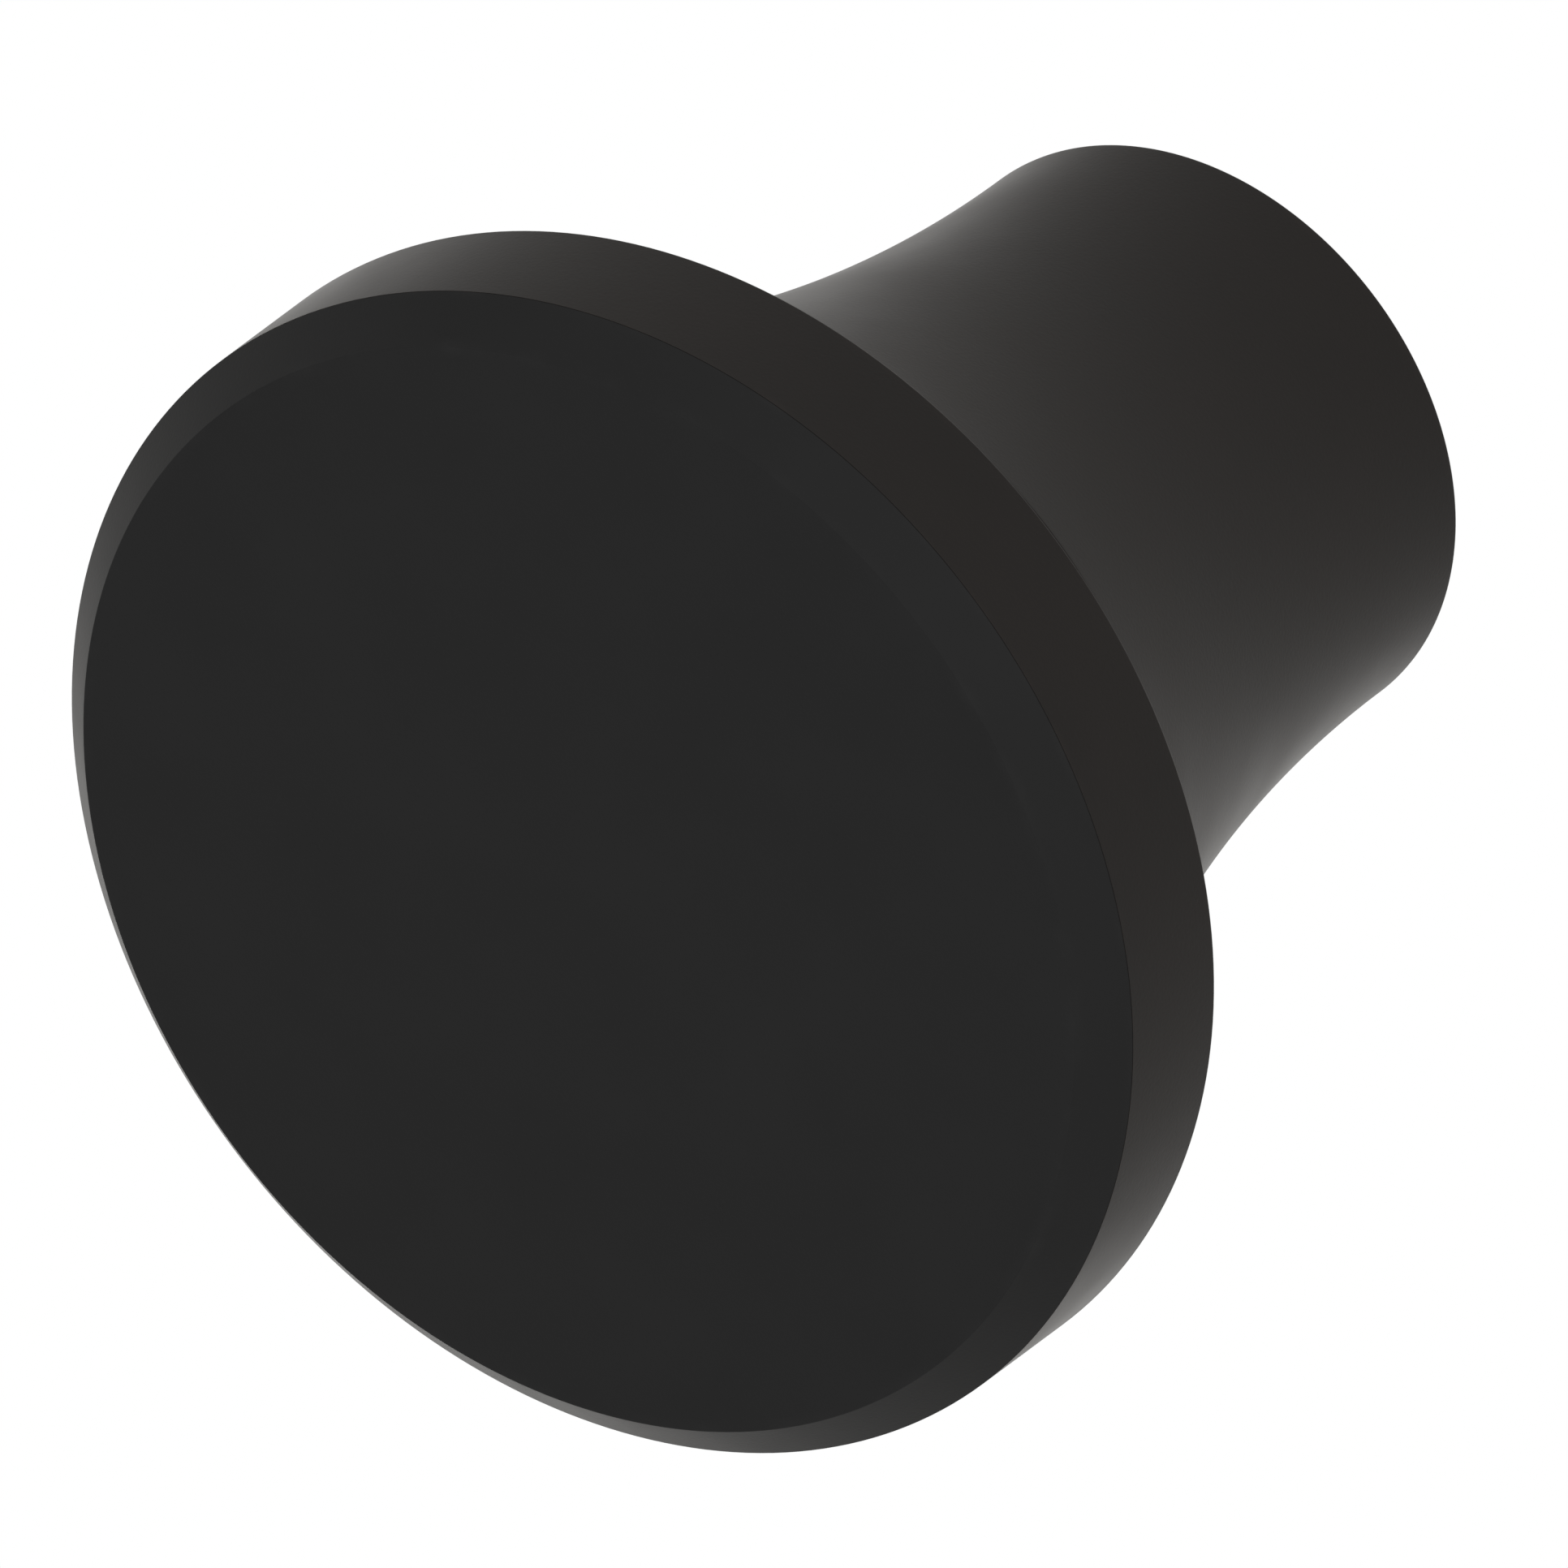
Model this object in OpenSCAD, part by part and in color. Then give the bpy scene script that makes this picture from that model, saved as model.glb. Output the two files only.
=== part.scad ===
// Hand-held sink plunger. A rubber cup is clamped under a flared grip by one long bolt, and a
// push-fit cover closes the cup's mouth. The plunger stands on that cover.
// Z runs from the cover's flat face, at z = 0, up to the palm end. Sizes are in millimetres.

/* [Outside shape] */
// Diameter of the cup's rim and of the cover
rim_d = 120; // [114:1:126]
// Height of the ledge where the rim ends and the neck begins
ledge_z = 18; // [17:0.5:20]
// Diameter of the grip at its palm end
palm_d = 60; // [56:1:64]
// Overall height
overall_h = 104; // [104:0.5:108]
// Radius of the concave flank, which is upright at the palm end
flank_r = 191.5; // [185:0.5:210]

/* [Cover] */
// Chamfer round the flat face, and so the height of the cover's edge
cover_chamfer = 4; // [3.5:0.5:4.5]
// Thickness of the cover's plate
cover_t = 3; // [2:0.5:3]
// Height of the spigot that reaches into the cup
spigot_h = 6; // [5:0.5:7]
// Wall of the spigot
spigot_t = 2.4; // [1.6:0.2:3]
// Number of stiffening ribs on the cover's inner side
cover_ribs = 12; // [6:1:18]

/* [Cup] */
// Rubber thickness of the rim, the ledge, the neck and the crown
cup_t = 5; // [4:0.5:6]
// Height of the crown's top, where the handle begins
crown_z = 36; // [34:0.5:38]
// Fillet between the ledge and the neck
ledge_fillet = 2; // [1:0.5:3]

/* [Clamp] */
// Diameter of the clamp plate
plate_d = 52; // [44:1:60]
// Sheet thickness of the clamp plate
plate_t = 1.5; // [1:0.5:2]
// Thickness of the sealing washer under the bolt's head
seal_t = 1.5; // [1:0.5:2]

/* [Handle] */
// Thickness of the grip sleeve
sleeve_t = 3; // [2.5:0.5:3.5]
// Thickness of the plate between the crown and the core
base_t = 4; // [3:0.5:5]
// Wall of the core's outer shell
core_t = 2.5; // [2:0.5:3]
// Thickness of the core's ribs
rib_t = 2; // [1.5:0.5:3]
// Number of ribs in the core
core_ribs = 6; // [4:1:8]
// Height of the seat that the nut's washer rests on
seat_z = 86; // [85:0.5:86.5]
// Thickness of the palm end plate
cap_t = 3; // [2:0.5:4]

/* [Hidden] */
$fn = 180;

rim_r = rim_d / 2;
palm_r = palm_d / 2;
bolt_r = 4;         // M8 hex bolt, 70 long, with the usual head and nut
bolt_l = 70;
hex_af = 13;        // across the flats of the head and the nut
head_h = 5.3;
nut_h = 6.5;
fit = 0.1;          // gap between fixed pieces that slide together
touch = 0.05;       // gap between the rubber cup and what rests against it
clear = 0.3;        // gap between pieces that move past each other
bolt_clear = 0.25;  // gap between the bolt and its holes
over = 1;           // how far a cutting shape runs past what it cuts
edge_r = 0.5;       // rounding of outer edges

mouth_r = rim_r - cup_t;
lip_z = cover_chamfer + touch;
lip_lead_in = 1;

bead_r = 1;
bead_up = 3.5;      // how far the bead is above the cover's edge
bead_z = cover_chamfer + bead_up;
spigot_r = mouth_r - clear - bead_r;
spigot_top = cover_chamfer + spigot_h;
cover_rib_h = 2.5;
cover_rib_t = 1.6;
cover_ring_r = 25;

flank_centre_r = palm_r + flank_r;
crown_under = crown_z - touch - cup_t;
hole_r = bolt_r + 0.5;

plate_r = plate_d / 2;
plate_top = crown_under - touch;
plate_edge_h = 3.5;
seal_top = plate_top - plate_t;
seal_r = 9;
head_top = seal_top - seal_t;
washer_t = 1.6;
washer_r = 8;
spring_z = seat_z + washer_t;
spring_t = 2;
nut_z = spring_z + spring_t;
spring_r = 7.4;
spring_gap = 1.5;
spring_slant = 25;

base_top = crown_z + base_t;
socket_h = 5;
socket_t = 2.4;
tube_r = 8;
core_inset = sleeve_t + fit;
core_top = overall_h - cap_t;
seat_t = 4;
recess_wall = 2.4;
recess_r = palm_r - core_inset - recess_wall;

cap_r = palm_r - sleeve_t - fit;
skirt_r = recess_r - 2 * fit;
skirt_t = 2.3;
skirt_h = 7.5;
cap_seal_r = 0.8;   // radius of the O-ring's section
cap_seal_down = 4;  // how far the O-ring is below the core's top
cap_seal_z = core_top - cap_seal_down;
cap_groove_t = 1.7; // depth of the O-ring's groove in the skirt

// The ledge's fillet circle touches the ledge from above and the flank's circle from inside
fillet_z = ledge_z + ledge_fillet;
fillet_r = flank_centre_r - sqrt(pow(flank_r - ledge_fillet, 2) - pow(overall_h - fillet_z, 2));
to_tangent = flank_r / (flank_r - ledge_fillet);
tangent_r = flank_centre_r - (flank_centre_r - fillet_r) * to_tangent;
tangent_z = overall_h - (overall_h - fillet_z) * to_tangent;

// Radius of the flank at a height, with the flank moved inwards by inset
function flank(z, inset = 0) =
    flank_centre_r - sqrt(pow(flank_r + inset, 2) - pow(overall_h - z, 2));

// Section between two radii and two heights
module rect(x0, x1, z0, z1) translate([x0, z0]) square([x1 - x0, z1 - z0]);

// Section of everything inside the flank between two heights, with the flank moved inwards by inset
module inside_flank(inset, z0, z1)
    difference() {
        rect(0, rim_r, z0, z1);
        translate([flank_centre_r, overall_h]) circle(r = flank_r + inset, $fn = 1440);
    }

// Section of what rounding takes off an outer top corner at (x, z)
module top_corner(x, z, r)
    difference() {
        rect(x - r, x + over, z - r, z + over);
        translate([x - r, z - r]) circle(r = r);
    }

// A flat ring between two radii and two heights
module ring(inner_r, outer_r, z0, z1) rotate_extrude() rect(inner_r, outer_r, z0, z1);

// A hexagonal bar between two heights, with its flats af apart
module hex_bar(af, z0, z1)
    translate([0, 0, z0]) cylinder(r = af / 2 / cos(30), h = z1 - z0, $fn = 6);

// A round hole or bar on the axis between two heights
module bar(r, z0, z1) translate([0, 0, z0]) cylinder(r = r, h = z1 - z0);

module mouth_cover() color("#282828") {
    rotate_extrude()
        difference() {
            union() {
                polygon([[0, 0], [rim_r - cover_chamfer, 0], [rim_r, cover_chamfer],
                         [spigot_r - spigot_t, cover_chamfer], [spigot_r - spigot_t, cover_t],
                         [0, cover_t]]);
                rect(spigot_r - spigot_t, spigot_r, cover_t - over, spigot_top);
                translate([spigot_r, bead_z]) circle(r = bead_r);
            }
            top_corner(spigot_r, spigot_top, edge_r);
        }
    ring(cover_ring_r - cover_rib_t, cover_ring_r, cover_t - over, cover_t + cover_rib_h);
    for (i = [0 : cover_ribs - 1])
        rotate([0, 0, i * 360 / cover_ribs])
            translate([cover_ring_r - cover_rib_t / 2, -cover_rib_t / 2, cover_t - over])
                cube([spigot_r - spigot_t - cover_ring_r + over, cover_rib_t,
                      cover_rib_h + over]);
}

module rubber_cup() color("#2b2a29")
    rotate_extrude()
        difference() {
            union() {
                rect(0, rim_r, lip_z, ledge_z);
                inside_flank(0, ledge_z - over, crown_z - touch);
                difference() {
                    polygon([[tangent_r - over, ledge_z - over], [fillet_r, ledge_z - over],
                             [fillet_r, fillet_z], [tangent_r, tangent_z],
                             [tangent_r - over, tangent_z]]);
                    translate([fillet_r, fillet_z]) circle(r = ledge_fillet);
                }
            }
            rect(-over, mouth_r, lip_z - over, ledge_z - cup_t);
            inside_flank(cup_t, ledge_z - cup_t - over, crown_under);
            rect(-over, hole_r, crown_under - over, crown_z + over);
            translate([mouth_r - clear, bead_z]) circle(r = bead_r + clear);
            polygon([[mouth_r - over, lip_z - over], [mouth_r + lip_lead_in + over, lip_z - over],
                     [mouth_r - over, lip_z + lip_lead_in + over]]);
            top_corner(rim_r, ledge_z, edge_r);
        }

module clamp_plate() color("silver")
    rotate_extrude()
        difference() {
            union() {
                rect(bolt_r + bolt_clear, plate_r, plate_top - plate_t, plate_top);
                rect(plate_r - plate_t, plate_r, plate_top - plate_edge_h, plate_top);
            }
            top_corner(plate_r, plate_top, plate_t);
        }

module bolt_seal() color("black") ring(bolt_r + fit, seal_r, head_top, seal_top);

module clamp_bolt() color("silver") {
    hex_bar(hex_af, head_top - head_h, head_top);
    bar(bolt_r, head_top - over, head_top + bolt_l);
}

// The core's tube stands in the socket on top of this plate
module handle_base() color("dimgray")
    rotate_extrude()
        difference() {
            union() {
                inside_flank(core_inset, crown_z, base_top);
                rect(0, tube_r + fit + socket_t, base_top - over, base_top + socket_h);
            }
            rect(-over, tube_r + fit, base_top, base_top + socket_h + over);
            rect(-over, bolt_r + bolt_clear, crown_z - over, base_top + over);
        }

module handle_core() color("dimgray")
    difference() {
        union() {
            rotate_extrude() {
                difference() {
                    inside_flank(core_inset, base_top, core_top);
                    inside_flank(core_inset + core_t, base_top - over, seat_z - seat_t);
                    rect(-over, recess_r, seat_z, core_top + over);
                }
                rect(0, tube_r, base_top, seat_z);
            }
            intersection() {
                for (i = [0 : core_ribs - 1])
                    rotate([0, 0, i * 360 / core_ribs])
                        translate([0, -rib_t / 2, base_top + socket_h + over])
                            cube([rim_r, rib_t, seat_z - base_top - socket_h - 2 * over]);
                rotate_extrude()
                    inside_flank(core_inset + core_t / 2, base_top, seat_z);
            }
        }
        bar(bolt_r + bolt_clear, base_top - over, seat_z + over);
    }

module grip_sleeve() color("#2b2a29")
    rotate_extrude()
        difference() {
            inside_flank(0, crown_z, overall_h);
            inside_flank(sleeve_t, crown_z - over, overall_h + over);
            top_corner(palm_r, overall_h, edge_r);
        }

module top_washer() color("silver")
    ring(bolt_r + bolt_clear, washer_r, seat_z, seat_z + washer_t);

// The split runs through one side only
module spring_washer() color("silver")
    difference() {
        ring(bolt_r + bolt_clear, spring_r, spring_z, spring_z + spring_t);
        translate([0, 0, spring_z + spring_t / 2]) rotate([spring_slant, 0, 0])
            translate([0, -spring_gap / 2, -spring_t * 2]) cube([washer_r, spring_gap, spring_t * 4]);
    }

module hex_nut() color("silver")
    difference() {
        hex_bar(hex_af, nut_z, nut_z + nut_h);
        bar(bolt_r + touch, nut_z - over, nut_z + nut_h + over);
    }

module end_cap() color("#2b2a29")
    rotate_extrude()
        difference() {
            union() {
                rect(0, cap_r, core_top, overall_h);
                rect(skirt_r - skirt_t, skirt_r, core_top - skirt_h, core_top + over);
            }
            rect(skirt_r - cap_groove_t, skirt_r + over, cap_seal_z - cap_seal_r - touch,
                 cap_seal_z + cap_seal_r + touch);
            top_corner(cap_r, overall_h, edge_r);
        }

module cap_seal() color("black")
    rotate_extrude()
        translate([recess_r - touch - cap_seal_r, cap_seal_z]) circle(r = cap_seal_r);

mouth_cover();
rubber_cup();
clamp_plate();
bolt_seal();
clamp_bolt();
handle_base();
handle_core();
grip_sleeve();
top_washer();
spring_washer();
hex_nut();
end_cap();
cap_seal();
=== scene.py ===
"""The looks of a hand-held sink plunger: its rubber cup, push-fit mouth cover, flared grip, and the
bolt, washers, nut and plastic core inside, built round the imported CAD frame. Lengths are in metres."""

import math

import bmesh
import bpy
from mathutils import Matrix, Vector


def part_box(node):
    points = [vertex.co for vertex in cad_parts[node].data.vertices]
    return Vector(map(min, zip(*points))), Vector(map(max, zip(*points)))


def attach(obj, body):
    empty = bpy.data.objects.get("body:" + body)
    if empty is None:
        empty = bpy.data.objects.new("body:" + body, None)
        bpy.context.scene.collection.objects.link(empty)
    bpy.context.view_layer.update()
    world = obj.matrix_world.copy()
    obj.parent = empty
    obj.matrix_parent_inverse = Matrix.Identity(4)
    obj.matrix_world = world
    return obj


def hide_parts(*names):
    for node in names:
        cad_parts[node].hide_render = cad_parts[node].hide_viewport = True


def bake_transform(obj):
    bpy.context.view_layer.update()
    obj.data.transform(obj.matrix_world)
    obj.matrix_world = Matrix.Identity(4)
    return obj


MM = 0.001
TURN = 2 * math.pi
SEGMENTS = 240          # round a large lathed piece or a split ring
SMALL_SEGMENTS = 96     # round a small one, and a multiple of 6 for the hexagons
SLIVER = 0.002 * MM     # edges shorter than this are closed up after a join

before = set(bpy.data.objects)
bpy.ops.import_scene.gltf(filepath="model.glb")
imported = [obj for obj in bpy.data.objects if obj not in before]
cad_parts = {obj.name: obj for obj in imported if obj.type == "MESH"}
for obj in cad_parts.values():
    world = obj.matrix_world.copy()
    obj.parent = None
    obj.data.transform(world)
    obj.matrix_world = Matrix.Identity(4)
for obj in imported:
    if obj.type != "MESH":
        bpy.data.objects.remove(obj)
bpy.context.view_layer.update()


# ---- Sizes, from the frame where it has them ---------------------------------------------------

def low(node):
    """Height of a node's lowest point."""
    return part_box(node)[0].z


def high(node):
    """Height of a node's highest point."""
    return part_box(node)[1].z


def reach(node):
    """Outer radius of a node that is round about Z, to a hundredth of a millimetre."""
    lowest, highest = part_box(node)
    return round(max(-lowest.x, highest.x, -lowest.y, highest.y), 5)


OVERALL = high("grip_sleeve")
CROWN = low("grip_sleeve")
CROWN_TOP = high("rubber_cup")
RIM_R = 60 * MM
LEDGE = 18 * MM
LEDGE_FILLET = 2 * MM
CHAMFER = 4 * MM
LIP = CHAMFER + 0.01 * MM   # the soft lip bears on the cover, so their seam is a hairline
SEAM_EDGE = 0.03 * MM   # rounding of the cover and the lip along that seam
BEAD_Z = CHAMFER + 3.5 * MM     # of the cover's bead, and of the cup's groove for it
CUP_T = 5 * MM
MOUTH_R = RIM_R - CUP_T
CROWN_UNDER = CROWN_TOP - CUP_T
PALM_R = 30 * MM
FLANK_R = 191.5 * MM    # radius of the neck's concave arc, upright at the palm end
FLANK_CENTRE = PALM_R + FLANK_R
SLEEVE_T = 3 * MM
INSET = SLEEVE_T + 0.1 * MM     # of the handle's rigid parts from the grip's outer surface
TUBE_R = 8 * MM         # of the core's tube, which stands in the base's socket
BOLT_R = 4 * MM
HOLE_R = 4.25 * MM      # through which the bolt passes
HEX_AF = 13 * MM        # across the flats of the bolt's head and of the nut
HEX_SHARP = 28          # degrees: the cone that turns off a hexagon's corners stays sharp


def flank(z, inset=0.0):
    """Radius of the neck at a height, with its surface moved inwards by inset."""
    return FLANK_CENTRE - math.sqrt((FLANK_R + inset) ** 2 - (OVERALL - z) ** 2)


# ---- Outlines ----------------------------------------------------------------------------------

def arc(centre, radius, start, end, steps):
    """Points along an arc between two angles in degrees."""
    angles = [math.radians(start + (end - start) * i / steps) for i in range(steps + 1)]
    return [(centre[0] + radius * math.cos(a), centre[1] + radius * math.sin(a)) for a in angles]


def flank_points(z0, z1, inset=0.0, steps=48):
    """Points along the neck's arc from height z0 to z1."""
    heights = [z0 + (z1 - z0) * i / steps for i in range(steps + 1)]
    return [(flank(z, inset), z) for z in heights]


def rounded(corners, steps=5):
    """A closed outline from corners (r, z) or (r, z, rounding), where rounding is an arc's radius."""
    points = []
    for i, corner in enumerate(corners):
        here = Vector(corner[:2])
        if len(corner) < 3:
            points.append(corner)
            continue
        radius = corner[2]
        before = (Vector(corners[i - 1][:2]) - here).normalized()
        after = (Vector(corners[(i + 1) % len(corners)][:2]) - here).normalized()
        half = before.angle(after) / 2
        centre = here + (before + after).normalized() * (radius / math.sin(half))
        first = here + before * (radius / math.tan(half)) - centre
        last = here + after * (radius / math.tan(half)) - centre
        start = math.degrees(math.atan2(first.y, first.x))
        sweep = math.degrees(math.atan2(first.cross(last), first.dot(last)))
        points += arc(centre, radius, start, start + sweep, steps)
    return points


def box_outline(r0, r1, z0, z1, edge):
    """A rectangle between two radii and two heights, with rounded corners."""
    return rounded([(r0, z0, edge), (r1, z0, edge), (r1, z1, edge), (r0, z1, edge)], steps=3)


# ---- Meshes ------------------------------------------------------------------------------------

def piece(name, mesh_maker):
    """A new object from a function that fills a bmesh."""
    mesh = bpy.data.meshes.new(name)
    work = bmesh.new()
    mesh_maker(work)
    bmesh.ops.recalc_face_normals(work, faces=work.faces)
    work.to_mesh(mesh)
    work.free()
    made = bpy.data.objects.new(name, mesh)
    bpy.context.scene.collection.objects.link(made)
    return made


def bridge(work, ring, other):
    """Quads between two rings of vertices, or triangles where one ring is a single vertex."""
    count = max(len(ring), len(other))
    for k in range(count if count > 1 else 0):
        m = (k + 1) % count
        corners = [ring[k % len(ring)], ring[m % len(ring)],
                   other[m % len(other)], other[k % len(other)]]
        work.faces.new(list(dict.fromkeys(corners)))


def lathe(name, outline, segments=SEGMENTS):
    """A closed outline of (r, z) turned round Z. r is a number, or a function of the angle."""
    def fill(work):
        rings = []
        for r, z in outline:
            if r == 0:
                rings.append([work.verts.new((0, 0, z))])
                continue
            ring = []
            for k in range(segments):
                a = TURN * k / segments
                here = r(a) if callable(r) else r
                ring.append(work.verts.new((here * math.cos(a), here * math.sin(a), z)))
            rings.append(ring)
        for i, ring in enumerate(rings):
            bridge(work, ring, rings[(i + 1) % len(rings)])
    return piece(name, fill)


def split_ring(name, outline, gap, slant):
    """An outline swept round Z but for a gap. slant is how far the ends lean, in metres per metre."""
    def fill(work):
        middle = sum(z for _, z in outline) / len(outline)
        rings = []
        for k in range(SEGMENTS + 1):
            share = k / SEGMENTS
            ring = []
            for r, z in outline:
                a = (gap / 2 + (TURN * r - gap) * share + slant * (z - middle)) / r
                ring.append(work.verts.new((r * math.cos(a), r * math.sin(a), z)))
            rings.append(ring)
        for ring, other in zip(rings, rings[1:]):
            bridge(work, ring, other)
        work.faces.new(rings[0])
        work.faces.new(rings[-1])
    return piece(name, fill)


def block(name, lowest, highest, angle, edge=0.3 * MM):
    """A box between two corners with rounded edges, turned about Z by an angle."""
    def fill(work):
        bmesh.ops.create_cube(work, size=1)
        size = Vector(highest) - Vector(lowest)
        centre = (Vector(highest) + Vector(lowest)) / 2
        for v in work.verts:
            v.co = Vector((v.co.x * size.x, v.co.y * size.y, v.co.z * size.z)) + centre
        bmesh.ops.bevel(work, geom=work.edges[:], offset=edge, segments=2, affect="EDGES")
        bmesh.ops.rotate(work, verts=work.verts, matrix=Matrix.Rotation(angle, 3, "Z"))
    return piece(name, fill)


def join(base, others):
    """Joins others to base as exact solids, closes up the slivers, and removes the others."""
    for other in others:
        change = base.modifiers.new("join", "BOOLEAN")
        change.operation, change.object, change.solver = "UNION", other, "EXACT"
    bpy.context.view_layer.update()
    solid = base.evaluated_get(bpy.context.evaluated_depsgraph_get())
    mesh = bpy.data.meshes.new_from_object(solid)
    work = bmesh.new()
    work.from_mesh(mesh)
    bmesh.ops.remove_doubles(work, verts=work.verts, dist=SLIVER)
    bmesh.ops.dissolve_degenerate(work, edges=work.edges, dist=SLIVER)
    work.to_mesh(mesh)
    work.free()
    base.modifiers.clear()
    base.data = mesh
    for other in others:
        bpy.data.objects.remove(other)


def finish_piece(made, material, stands_for, body=None, sharp=40):
    """Smooths a piece, gives it its material and hides the CAD node that it stands for. It rides on
    the body, if one is given. Edges over the angle sharp, in degrees, stay sharp."""
    made.data.materials.clear()
    made.data.materials.append(material)
    made.data.shade_smooth()
    made.data.set_sharp_from_angle(angle=math.radians(sharp))
    weighted = made.modifiers.new("even_normals", "WEIGHTED_NORMAL")
    weighted.keep_sharp = True
    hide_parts(stands_for)
    if body:
        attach(made, body)


# ---- Materials ---------------------------------------------------------------------------------

def add_node(tree, kind, links, settings):
    """A node with its settings, and its inputs by number or name set to a value or a socket."""
    made = tree.nodes.new(kind)
    for key, value in settings.items():
        setattr(made, key, value)
    for key, value in dict(links).items():
        if isinstance(value, bpy.types.NodeSocket):
            tree.links.new(value, made.inputs[key])
        else:
            made.inputs[key].default_value = value
    return made


class Surface:
    """A node material round one Principled shader."""

    def __init__(self, name, **constants):
        self.material = bpy.data.materials.new(name)
        self.material.use_nodes = True
        self.tree = self.material.node_tree
        self.shader = self.tree.nodes["Principled BSDF"]
        for socket, value in constants.items():
            self.shader.inputs[socket.replace("_", " ")].default_value = value
        self.place = self.add("ShaderNodeTexCoord").outputs["Object"]

    def add(self, kind, links=(), **settings):
        """A new node."""
        return add_node(self.tree, kind, links, settings)

    def math(self, operation, *values, clamp=False):
        """A Math node's result."""
        return self.add("ShaderNodeMath", enumerate(values), operation=operation,
                        use_clamp=clamp).outputs[0]

    def noise(self, scale, detail=3.0, stretch=(1, 1, 1)):
        """Noise over the object, with features of about 1 / scale metres."""
        stretched = self.add("ShaderNodeMapping", {"Vector": self.place, "Scale": stretch})
        return self.add("ShaderNodeTexNoise", {"Vector": stretched.outputs[0], "Scale": scale,
                                               "Detail": detail}).outputs[0]

    def spread(self, value, low_in, high_in, low_out, high_out):
        """A value remapped from one range to another and held inside it."""
        return self.add("ShaderNodeMapRange", {0: value, 1: low_in, 2: high_in, 3: low_out,
                                               4: high_out}).outputs[0]

    def near_circle(self, radius, height, width):
        """1 on the circle of that radius and height about Z, fading to 0 at width from it."""
        parts = self.add("ShaderNodeSeparateXYZ", {0: self.place})
        across = self.math("SQRT", self.math("ADD", self.math("POWER", parts.outputs[0], 2.0),
                                             self.math("POWER", parts.outputs[1], 2.0)))
        dr = self.math("POWER", self.math("SUBTRACT", across, radius), 2.0)
        dz = self.math("POWER", self.math("SUBTRACT", parts.outputs[2], height), 2.0)
        return self.spread(self.math("SQRT", self.math("ADD", dr, dz)), 0.0, width, 1.0, 0.0)

    def mix(self, share, first, second):
        """Two colours mixed by a share."""
        return self.add("ShaderNodeMix", {0: share, 6: first, 7: second},
                        data_type="RGBA").outputs[2]

    def bump(self, height, distance, strength=1.0, after=None):
        """A bump normal from a height, over another bump if given."""
        links = {"Height": height, "Distance": distance, "Strength": strength}
        if after:
            links["Normal"] = after
        return self.add("ShaderNodeBump", links).outputs[0]

    def set(self, socket, value):
        """Links a result to one of the shader's inputs."""
        self.tree.links.new(value, self.shader.inputs[socket])
        return self


def moulded_black(name, tint, roughness, grain, grain_depth, worn_circles=()):
    """Satin black moulding: fine grain, faint cloudiness and, on the named edges, rubbed wear."""
    s = Surface(name, IOR=1.5)
    clouds = s.spread(s.noise(60, 4), 0.35, 0.65, 0.0, 1.0)
    specks = s.spread(s.noise(2600, 2), 0.70, 0.78, 0.0, 0.35)
    colour = s.mix(clouds, [c * 0.85 for c in tint] + [1], [c * 1.15 for c in tint] + [1])
    rough = s.spread(clouds, 0.0, 1.0, roughness - 0.02, roughness + 0.02)
    rubbed = None
    for radius, height, width in worn_circles:
        here = s.near_circle(radius, height, width)
        rubbed = s.math("MAXIMUM", rubbed, here) if rubbed else here
    if rubbed:
        patches = s.spread(s.noise(220, 5), 0.42, 0.68, 0.0, 1.0)
        rubbed = s.math("MULTIPLY", rubbed, patches)
        colour = s.mix(rubbed, colour, [c * 1.6 for c in tint] + [1])
        rough = s.math("ADD", rough, s.math("MULTIPLY", rubbed, 0.03))
    colour = s.mix(specks, colour, [c * 2.0 for c in tint] + [1])
    s.set("Base Color", colour).set("Roughness", rough)
    fine = s.bump(s.noise(grain, 2), grain_depth)
    return s.set("Normal", s.bump(s.noise(90, 3), 0.02 * MM, after=fine)).material


def steel(name, tint, roughness, turned):
    """Stainless steel: fine lathe or drawing marks round or along Z, and light stains."""
    s = Surface(name, Metallic=1.0)
    marks = s.noise(900, 3, (0.05, 0.05, 6) if turned else (4, 4, 0.1))
    stains = s.spread(s.noise(160, 4), 0.45, 0.7, 0.0, 1.0)
    s.set("Base Color", s.mix(stains, list(tint) + [1], [c * 0.72 for c in tint] + [1]))
    s.set("Roughness", s.math("ADD", s.spread(marks, 0.3, 0.7, roughness - 0.06, roughness + 0.06),
                              s.math("MULTIPLY", stains, 0.12)))
    return s.set("Normal", s.bump(marks, 0.01 * MM)).material


RUBBER = (0.0135, 0.0098, 0.0080)
PLASTIC = (0.0100, 0.0100, 0.0100)
MATERIALS = {
    "cover": moulded_black("cover_plastic", PLASTIC, 0.38, 3200, 0.012 * MM,
                           [(RIM_R - CHAMFER, 0, 1.2 * MM), (RIM_R, CHAMFER, 0.8 * MM)]),
    "cup": moulded_black("cup_rubber", RUBBER, 0.38, 2400, 0.015 * MM,
                         [(RIM_R, LEDGE, 1.2 * MM), (RIM_R, LIP, 0.8 * MM)]),
    "grip": moulded_black("grip_rubber", RUBBER, 0.38, 2400, 0.015 * MM,
                          [(PALM_R, OVERALL, 1.4 * MM)]),
    "cap": moulded_black("cap_plastic", PLASTIC, 0.36, 3200, 0.012 * MM),
    "core": moulded_black("core_plastic", (0.05, 0.05, 0.053), 0.5, 1800, 0.01 * MM),
    "seal": moulded_black("seal_rubber", (0.008, 0.008, 0.008), 0.36, 2800, 0.004 * MM),
    "turned_steel": steel("turned_steel", (0.60, 0.60, 0.58), 0.30, True),
    "drawn_steel": steel("drawn_steel", (0.63, 0.62, 0.60), 0.26, False),
}


# ---- Mouth cover -------------------------------------------------------------------------------

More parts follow.
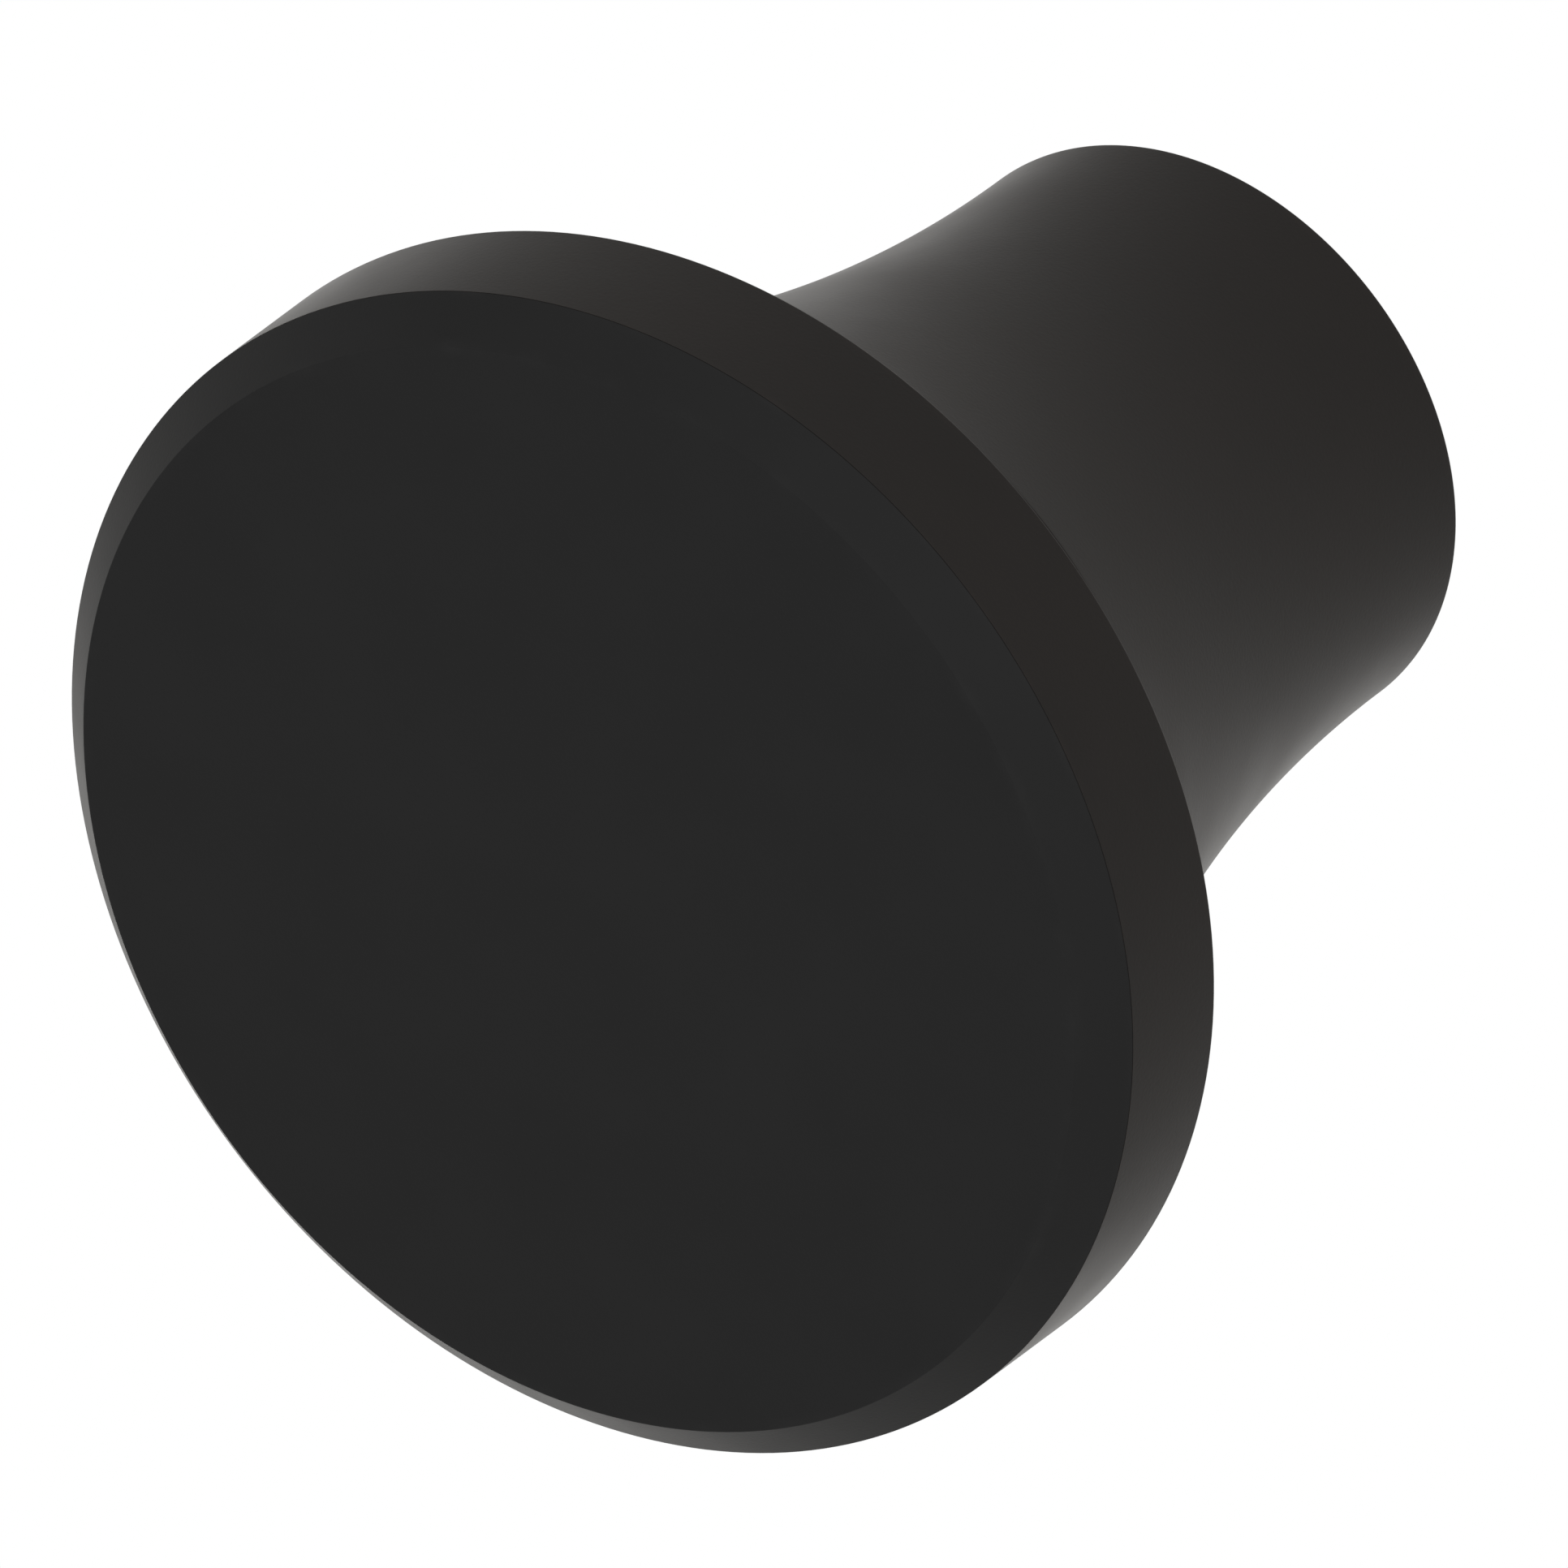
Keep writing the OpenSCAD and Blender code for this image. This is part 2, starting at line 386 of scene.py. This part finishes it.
def make_mouth_cover():
    floor_t, spigot_t, spigot_top, bead_r = 3 * MM, 2.4 * MM, high("mouth_cover"), 1 * MM
    clear = 0.3 * MM
    spigot_r = MOUTH_R - clear - bead_r
    shell = rounded([(0, 0), (RIM_R - CHAMFER, 0, 0.15 * MM), (RIM_R, CHAMFER, SEAM_EDGE),
                     (spigot_r, CHAMFER, 0.3 * MM)])
    shell += arc((spigot_r, BEAD_Z), bead_r, -90, 90, 12)
    shell += rounded([(spigot_r, BEAD_Z), (spigot_r, spigot_top, 0.5 * MM),
                      (spigot_r - spigot_t, spigot_top, 0.5 * MM),
                      (spigot_r - spigot_t, floor_t, 0.6 * MM), (0, floor_t)])[1:]
    cover = lathe("mouth_cover_shell", shell)
    rib_t, ring_top, ring_r, ribs = 1.6 * MM, floor_t + 2.5 * MM, 25 * MM, 12
    rib_top = ring_top - 0.1 * MM       # lower than the ring, so no two faces share a plane
    sunk = floor_t - 1 * MM
    parts = [lathe("ring", box_outline(ring_r - rib_t, ring_r, sunk, ring_top, 0.3 * MM))]
    for i in range(ribs):
        parts.append(block("rib", (ring_r - rib_t / 2, -rib_t / 2, sunk),
                           (spigot_r - spigot_t / 2, rib_t / 2, rib_top), TURN * i / ribs))
    join(cover, parts)
    finish_piece(cover, MATERIALS["cover"], "mouth_cover", "cover", sharp=35)


# ---- Rubber cup --------------------------------------------------------------------------------

def make_rubber_cup():
    fillet_z = LEDGE + LEDGE_FILLET
    fillet_r = FLANK_CENTRE - math.sqrt((FLANK_R - LEDGE_FILLET) ** 2 - (OVERALL - fillet_z) ** 2)
    lean = math.degrees(math.atan2(OVERALL - fillet_z, FLANK_CENTRE - fillet_r))
    tangent_z = OVERALL - (OVERALL - fillet_z) * FLANK_R / (FLANK_R - LEDGE_FILLET)
    groove_r, groove_in = 1.3 * MM, 0.3 * MM
    outside = rounded([(RIM_R - 1 * MM, LIP), (RIM_R, LIP, SEAM_EDGE),
                       (RIM_R, LEDGE, 0.4 * MM), (fillet_r + 1 * MM, LEDGE)])[1:]
    outside += arc((fillet_r, fillet_z), LEDGE_FILLET, 270, 180 + lean, 8)
    outside += flank_points(tangent_z, CROWN_TOP, steps=24)[1:-1]
    rim_inside = LEDGE - CUP_T
    hole_r = BOLT_R + 0.5 * MM
    inside = rounded([(flank(CROWN_TOP - 1 * MM), CROWN_TOP - 1 * MM),
                      (flank(CROWN_TOP), CROWN_TOP, 0.35 * MM), (hole_r, CROWN_TOP, 0.3 * MM),
                      (hole_r, CROWN_UNDER, 0.3 * MM),
                      (flank(CROWN_UNDER, CUP_T), CROWN_UNDER, 2 * MM),
                      *flank_points(CROWN_UNDER - 3 * MM, rim_inside + 1 * MM, CUP_T, 18),
                      (flank(rim_inside, CUP_T), rim_inside, 0.9 * MM),
                      (MOUTH_R, rim_inside, 1.5 * MM),
                      (MOUTH_R, BEAD_Z + 2 * groove_r)])[1:]
    open_angle = math.degrees(math.acos(groove_in / groove_r))
    inside += arc((MOUTH_R - groove_in, BEAD_Z), groove_r, open_angle, -open_angle, 14)
    inside += rounded([(MOUTH_R, BEAD_Z), (MOUTH_R, LIP + 1 * MM, 0.4 * MM),
                       (MOUTH_R + 1 * MM, LIP, 0.4 * MM), (RIM_R - 1 * MM, LIP)])[1:-1]
    cup = lathe("rubber_cup_skin", outside + inside)
    finish_piece(cup, MATERIALS["cup"], "rubber_cup")
    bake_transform(cup)


# ---- Clamp: plate, seal, bolt, washers and nut -------------------------------------------------

def hexagon(limit):
    """Radius of a hexagon with a corner on +X, as a function of angle, no larger than limit."""
    sixth = TURN / 6
    return lambda a: min(limit, HEX_AF / 2 / math.cos(a % sixth - sixth / 2))


def hex_rings(z0, z1, at_start, at_end):
    """Outline points of a hexagonal bar, its corners turned off by a 30 degree cone at an end."""
    slope = TURN / 12
    corner = HEX_AF / 2 / math.cos(slope)
    face_r = 0.95 * HEX_AF / 2      # of the round flat that the cone leaves on the end
    drop = (corner - face_r) * math.tan(slope)
    steps = 8
    cone = [(face_r + (corner - face_r) * i / steps, drop * i / steps) for i in range(steps + 1)]
    start = [(hexagon(r), z0 + d) for r, d in cone] if at_start else [(hexagon(corner), z0)]
    end = [(hexagon(r), z1 - d) for r, d in cone] if at_end else [(hexagon(corner), z1)]
    return start + end[::-1]


def thread_rings(z0, z1, pitch, depth):
    """Outline points up a threaded rod: the thread fades in at z0 and out at z1. A turn of it has
    straight flanks between a flat crest and a flat root, each a sixth of the pitch wide."""
    per_turn = 12
    peak, slope = 1.25, 3.0     # of the groove's depth, before it is held between 0 and 1
    count = round((z1 - z0) / pitch * per_turn)

    def at(z):
        share = min(1.0, (z - z0) / pitch, (z1 - z) / pitch)

        def radius(a):
            turn = (z / pitch - a / TURN) % 1.0
            groove = min(1.0, max(0.0, peak - slope * abs(turn - 0.5)))
            return BOLT_R - depth * groove * max(0.0, share)
        return radius
    heights = [z0 + (z1 - z0) * i / count for i in range(count + 1)]
    return [(at(z), z) for z in heights]


def make_clamp_bolt():
    head_low, head_top, end = low("clamp_bolt"), low("bolt_seal"), high("clamp_bolt")
    dish, tip, thread_length = 0.4 * MM, 0.8 * MM, 32 * MM
    pitch, depth = 1.25 * MM, 0.65 * MM
    bolt = [(0, head_low + dish), (3.6 * MM, head_low + dish), (4.2 * MM, head_low)]
    bolt += hex_rings(head_low, head_top, at_start=True, at_end=False)
    bolt += [(BOLT_R + 0.4 * MM, head_top), (BOLT_R, head_top + 0.15 * MM)]
    bolt += thread_rings(end - thread_length, end - tip, pitch, depth)
    bolt += [(BOLT_R - tip, end), (0, end)]
    finish_piece(lathe("clamp_bolt_threaded", bolt, SMALL_SEGMENTS), MATERIALS["drawn_steel"],
                 "clamp_bolt", "handle", HEX_SHARP)


def make_hex_nut():
    nut_low, nut_high = low("hex_nut"), high("hex_nut")
    bore, lead_in = BOLT_R + 0.05 * MM, 0.5 * MM
    nut = hex_rings(nut_low, nut_high, at_start=True, at_end=True)
    nut += [(bore + lead_in, nut_high), (bore, nut_high - lead_in), (bore, nut_low + lead_in),
            (bore + lead_in, nut_low)]
    finish_piece(lathe("hex_nut_chamfered", nut, SMALL_SEGMENTS), MATERIALS["drawn_steel"],
                 "hex_nut", "handle", HEX_SHARP)


def make_washers():
    washer = box_outline(HOLE_R, reach("top_washer"), low("top_washer"), high("top_washer"),
                         0.15 * MM)
    finish_piece(lathe("top_washer_ring", washer, SMALL_SEGMENTS), MATERIALS["turned_steel"],
                 "top_washer", "handle")

    gap, slant = 1.5 * MM, 0.45
    split = box_outline(HOLE_R, reach("spring_washer"), low("spring_washer"),
                        high("spring_washer"), 0.12 * MM)
    finish_piece(split_ring("spring_washer_split", split, gap, slant),
                 MATERIALS["turned_steel"], "spring_washer", "handle")


def make_clamp_plate():
    plate_t, plate_r, edge_low = 1.5 * MM, reach("clamp_plate"), low("clamp_plate")
    top = high("clamp_plate")
    plate = rounded([(HOLE_R, top - plate_t, 0.15 * MM),
                     (plate_r - plate_t, top - plate_t, 0.6 * MM),
                     (plate_r - plate_t, edge_low, 0.3 * MM), (plate_r, edge_low, 0.3 * MM),
                     (plate_r, top, 1.5 * MM), (HOLE_R, top, 0.15 * MM)])
    finish_piece(lathe("clamp_plate_pressed", plate), MATERIALS["turned_steel"],
                 "clamp_plate", "handle")


def make_bolt_seal():
    seal = box_outline(BOLT_R + 0.1 * MM, reach("bolt_seal"), low("bolt_seal"),
                       high("bolt_seal"), 0.3 * MM)
    finish_piece(lathe("bolt_seal_ring", seal, SMALL_SEGMENTS), MATERIALS["seal"],
                 "bolt_seal", "handle")


# ---- Handle ------------------------------------------------------------------------------------

def make_handle_base():
    base_low, base_top = low("handle_base"), low("handle_core")
    socket_in, socket_t, socket_top = TUBE_R + 0.1 * MM, 2.4 * MM, high("handle_base")
    base = rounded([(HOLE_R, base_low, 0.3 * MM), (flank(base_low, INSET), base_low, 0.3 * MM),
                    (flank(base_top, INSET), base_top, 0.3 * MM),
                    (socket_in + socket_t, base_top, 0.8 * MM),
                    (socket_in + socket_t, socket_top, 0.4 * MM),
                    (socket_in, socket_top, 0.4 * MM), (socket_in, base_top, 0.2 * MM),
                    (HOLE_R, base_top, 0.2 * MM)])
    finish_piece(lathe("handle_base_plate", base), MATERIALS["core"],
                 "handle_base", "handle")


def make_handle_core():
    core_t, seat_t, recess_r = 2.5 * MM, 4 * MM, 24.5 * MM
    bottom, seat, top = low("handle_core"), low("top_washer"), high("handle_core")
    under = seat - seat_t
    core = rounded([(HOLE_R, bottom, 0.3 * MM), (TUBE_R, bottom, 0.3 * MM),
                    (TUBE_R, under, 1 * MM), (flank(under, INSET + core_t), under, 1 * MM),
                    *flank_points(under - 2 * MM, bottom + 1 * MM, INSET + core_t, 40),
                    (flank(bottom, INSET + core_t), bottom, 0.3 * MM),
                    (flank(bottom, INSET), bottom, 0.3 * MM),
                    *flank_points(bottom + 1 * MM, top - 1 * MM, INSET, 40),
                    (flank(top, INSET), top, 0.3 * MM), (recess_r, top, 0.4 * MM),
                    (recess_r, seat, 1 * MM), (HOLE_R, seat, 0.3 * MM)])
    core = lathe("handle_core_ribbed", core)
    rib_t, ribs = 2 * MM, 6
    rib_low, rib_high = high("handle_base") + 1 * MM, under + 1 * MM
    walls = []
    for i in range(ribs):
        walls.append(rib_between(TURN * i / ribs, TUBE_R - 1 * MM, INSET + core_t / 2, rib_t,
                                 rib_low, rib_high))
    join(core, walls)
    finish_piece(core, MATERIALS["core"], "handle_core", "handle", sharp=35)


def make_grip_sleeve():
    sleeve = rounded([(flank(CROWN), CROWN, 0.35 * MM),
                      *flank_points(CROWN + 1 * MM, OVERALL - 1 * MM, steps=72),
                      (PALM_R, OVERALL, 0.4 * MM),
                      (flank(OVERALL, SLEEVE_T), OVERALL, 0.25 * MM),
                      *flank_points(OVERALL - 1 * MM, CROWN + 1 * MM, SLEEVE_T, 48),
                      (flank(CROWN, SLEEVE_T), CROWN, 0.3 * MM)])
    finish_piece(lathe("grip_sleeve_skin", sleeve), MATERIALS["grip"],
                 "grip_sleeve", "handle")


def make_end_cap():
    cap_low, skirt_low, cap_r = high("handle_core"), low("end_cap"), 26.9 * MM
    skirt_r, skirt_t, groove_t = 24.3 * MM, 2.3 * MM, 1.7 * MM
    seal_z = (low("cap_seal") + high("cap_seal")) / 2
    seal_r = 0.8 * MM
    groove_half = seal_r + 0.05 * MM
    cap = rounded([(0, cap_low), (skirt_r - skirt_t, cap_low, 0.5 * MM),
                   (skirt_r - skirt_t, skirt_low, 0.4 * MM), (skirt_r, skirt_low, 0.4 * MM),
                   (skirt_r, seal_z - groove_half, 0.15 * MM),
                   (skirt_r - groove_t, seal_z - groove_half, 0.15 * MM),
                   (skirt_r - groove_t, seal_z + groove_half, 0.15 * MM),
                   (skirt_r, seal_z + groove_half, 0.15 * MM), (skirt_r, cap_low, 0.15 * MM),
                   (cap_r, cap_low, 0.2 * MM), (cap_r, OVERALL, 0.5 * MM), (0, OVERALL)])
    finish_piece(lathe("end_cap_plate", cap), MATERIALS["cap"], "end_cap",
                 "handle")

    seal = arc((reach("cap_seal") - seal_r, seal_z), seal_r, 0, 345, 23)
    finish_piece(lathe("cap_seal_ring", seal), MATERIALS["seal"], "cap_seal",
                 "handle")


def rib_between(angle, r0, inset, thickness, z0, z1):
    """A radial wall from radius r0 out to the neck's arc at an inset, between two heights."""
    def fill(work):
        steps = 24
        sides = []
        for y in (-thickness / 2, thickness / 2):
            loop = [work.verts.new((r0, y, z0))]
            loop += [work.verts.new((r, y, z)) for r, z in flank_points(z0, z1, inset, steps)]
            loop.append(work.verts.new((r0, y, z1)))
            sides.append(loop)
            work.faces.new(loop)
        bridge(work, *sides)
        bmesh.ops.rotate(work, verts=work.verts, matrix=Matrix.Rotation(angle, 3, "Z"))
    return piece("rib", fill)


make_mouth_cover()
make_rubber_cup()
make_clamp_bolt()
make_hex_nut()
make_washers()
make_clamp_plate()
make_bolt_seal()
make_handle_base()
make_handle_core()
make_grip_sleeve()
make_end_cap()


# ---- Floor, light and camera -------------------------------------------------------------------

def make_floor():
    """A pale floor that shows only from above, because the camera looks up at the flat face. Returns
    a collection that holds the floor alone, for a light that is to reach nothing else."""
    half, drop = 3.0, -0.1 * MM
    mesh = bpy.data.meshes.new("floor")
    mesh.from_pydata([(-half, -half, drop), (half, -half, drop), (half, half, drop),
                      (-half, half, drop)], [], [(0, 1, 2, 3)])
    floor = bpy.data.objects.new("floor", mesh)
    bpy.context.scene.collection.objects.link(floor)
    s = Surface("floor_paint", Roughness=0.6)
    mottle = s.spread(s.noise(6, 4), 0.3, 0.7, 0.0, 1.0)
    s.set("Base Color", s.mix(mottle, (0.80, 0.80, 0.80, 1), (0.83, 0.83, 0.83, 1)))
    below = s.add("ShaderNodeNewGeometry").outputs["Backfacing"]
    clear = s.add("ShaderNodeBsdfTransparent").outputs[0]
    both = s.add("ShaderNodeMixShader", {0: below, 1: s.shader.outputs[0], 2: clear}).outputs[0]
    s.tree.links.new(both, s.tree.nodes["Material Output"].inputs["Surface"])
    floor.data.materials.append(s.material)
    floor.visible_diffuse = floor.visible_glossy = floor.visible_shadow = False
    alone = bpy.data.collections.new("floor_only")
    alone.objects.link(floor)
    return alone


def make_world():
    """White behind everything. Its light is an even grey, with a soft glow beyond the neck."""
    world = bpy.data.worlds.new("studio")
    bpy.context.scene.world = world
    world.use_nodes = True
    tree = world.node_tree
    tree.nodes.clear()

    def add(kind, links=(), **settings):
        """A new node's outputs."""
        return add_node(tree, kind, links, settings).outputs

    def fade(angle, start, end, low_out, high_out):
        """A smooth change of strength between two angles in degrees."""
        return add("ShaderNodeMapRange", {0: angle, 1: math.radians(start), 2: math.radians(end),
                                          3: low_out, 4: high_out},
                   interpolation_type="SMOOTHSTEP")[0]
    even, glow, glow_spread = 0.32, 0.90, 42
    opposite, opposite_from = 0.175, 70
    glow_direction = (0, 0.6907, 0.7231)
    neutral, warm = (1, 1, 1, 1), (1.015, 1, 0.975, 1)
    direction = add("ShaderNodeTexCoord")["Generated"]
    up = add("ShaderNodeSeparateXYZ", {0: direction})["Z"]
    height = add("ShaderNodeMapRange", {0: up, 1: -0.3, 2: 0.3})[0]
    tint = add("ShaderNodeMix", {0: height, 6: neutral, 7: warm}, data_type="RGBA")[2]
    toward = add("ShaderNodeVectorMath", {0: direction, 1: glow_direction}, operation="DOT_PRODUCT")
    angle = add("ShaderNodeMath", {0: toward["Value"]}, operation="ARCCOSINE")[0]
    near = fade(angle, 0, glow_spread, even + glow, even)
    far = fade(angle, opposite_from, 180, 0, opposite)
    light = add("ShaderNodeMath", {0: near, 1: far}, operation="ADD")[0]
    soft = add("ShaderNodeBackground", {"Color": tint, "Strength": light})[0]
    backdrop = add("ShaderNodeBackground", {"Color": neutral})[0]
    seen = add("ShaderNodeLightPath")["Is Camera Ray"]
    mixed = add("ShaderNodeMixShader", {0: seen, 1: soft, 2: backdrop})[0]
    add("ShaderNodeOutputWorld", {"Surface": mixed})


def add_softbox(name, place, size, power, lit):
    """A square area light aimed at the plunger's foot that lights only the objects of a collection."""
    light = bpy.data.lights.new(name, "AREA")
    light.size, light.energy = size, power
    made = bpy.data.objects.new(name, light)
    bpy.context.scene.collection.objects.link(made)
    made.location = place
    made.rotation_euler = (-Vector(place)).to_track_quat("-Z", "Y").to_euler()
    made.light_linking.receiver_collection = lit


def make_camera():
    """A parallel view of the flat face from below, with the axis leaning up to the right."""
    off_axis = math.radians(43.689)      # between the plunger's axis and the view
    lean = math.radians(36.588)          # of the axis in the picture, up from the right
    frame_width = 2.45815 * RIM_R
    foot = Vector((0, 0, 0.0657 * RIM_R))           # on the axis, close to the seam of the cover
    across, up = 0.28526 * RIM_R, 0.13837 * RIM_R   # of the picture's centre from there
    distance = 0.8
    forward = Vector((0, math.sin(off_axis), math.cos(off_axis)))
    axis = (Vector((0, 0, 1)) - forward * forward.z).normalized()
    side = (-forward).cross(axis)
    right = axis * math.cos(lean) - side * math.sin(lean)
    top = axis * math.sin(lean) + side * math.cos(lean)
    camera = bpy.data.cameras.new("camera")
    camera.type, camera.ortho_scale = "ORTHO", frame_width
    camera.clip_start, camera.clip_end = 0.01, 10
    made = bpy.data.objects.new("camera", camera)
    bpy.context.scene.collection.objects.link(made)
    place = foot + right * across + top * up - forward * distance
    turn = Matrix((right, top, -forward)).transposed().to_4x4()
    made.matrix_world = Matrix.Translation(place) @ turn
    bpy.context.scene.camera = made


floor_only = make_floor()
make_world()
add_softbox("key_light", place=(-1.05, 0.90, 2.40), size=1.35, power=81, lit=floor_only)
make_camera()
view_settings = bpy.context.scene.view_settings
view_settings.view_transform, view_settings.look = "Standard", "None"
